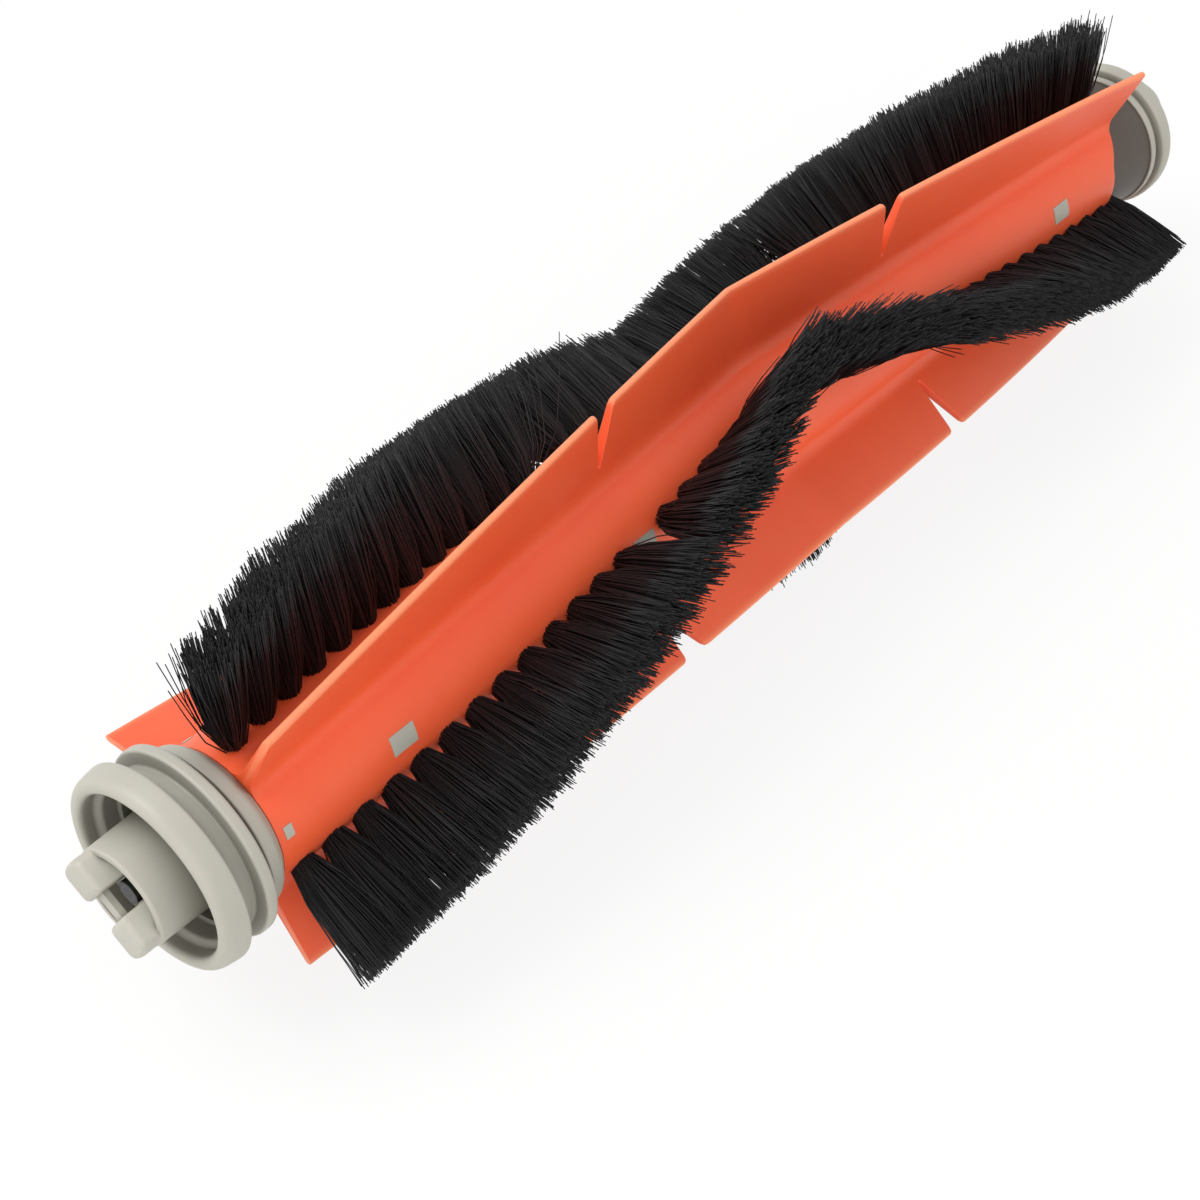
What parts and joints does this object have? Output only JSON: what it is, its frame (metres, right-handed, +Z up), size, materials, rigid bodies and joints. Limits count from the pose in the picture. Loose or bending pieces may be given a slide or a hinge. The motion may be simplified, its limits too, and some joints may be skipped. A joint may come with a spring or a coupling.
{
  "type": "robot vacuum roller brush",
  "caption": "Roller brush with slit orange rubber chevron blades, black bristle rows on a grey core, a jawed drive wheel at one end and a free-turning bearing cap at the other.",
  "frame": {"origin": "on the spin axis, in the plane of the drive jaws' tips", "axes": "+X along the spin axis from the drive end to the bearing end, +Z up as the brush lies on its bristles"},
  "size_m": [0.1807, 0.0391, 0.0383],
  "materials": {
    "grey_abs": "moulded, satin",
    "orange_rubber": "moulded, satin",
    "black_nylon": "filament bundles",
    "white_acetal": "moulded, smooth",
    "steel": "turned"
  },
  "bodies": {
    "roller": {"drive_wheel": "grey_abs", "jaw_coupling": "grey_abs", "coupling_screw": "steel", "core_tube": "grey_abs", "rubber_sleeve": "orange_rubber", "bristles_a_drive": "black_nylon", "bristles_a_middle": "black_nylon", "bristles_a_bearing": "black_nylon", "bristles_b_drive": "black_nylon", "bristles_b_middle": "black_nylon", "bristles_b_bearing": "black_nylon", "bristles_c_drive": "black_nylon", "bristles_c_middle": "black_nylon", "bristles_c_bearing": "black_nylon", "bearing_flange": "grey_abs", "axle_pin": "steel", "retaining_washer": "steel"},
    "end_cap": {"bearing_cap": "grey_abs", "bearing_bush": "white_acetal"}
  },
  "joints": [
    {"name": "cap_spin", "type": "hinge", "parent": "roller", "child": "end_cap", "pos_m": [0.1773, 0, 0], "axis": [1, 0, 0], "continuous": true}
  ]
}
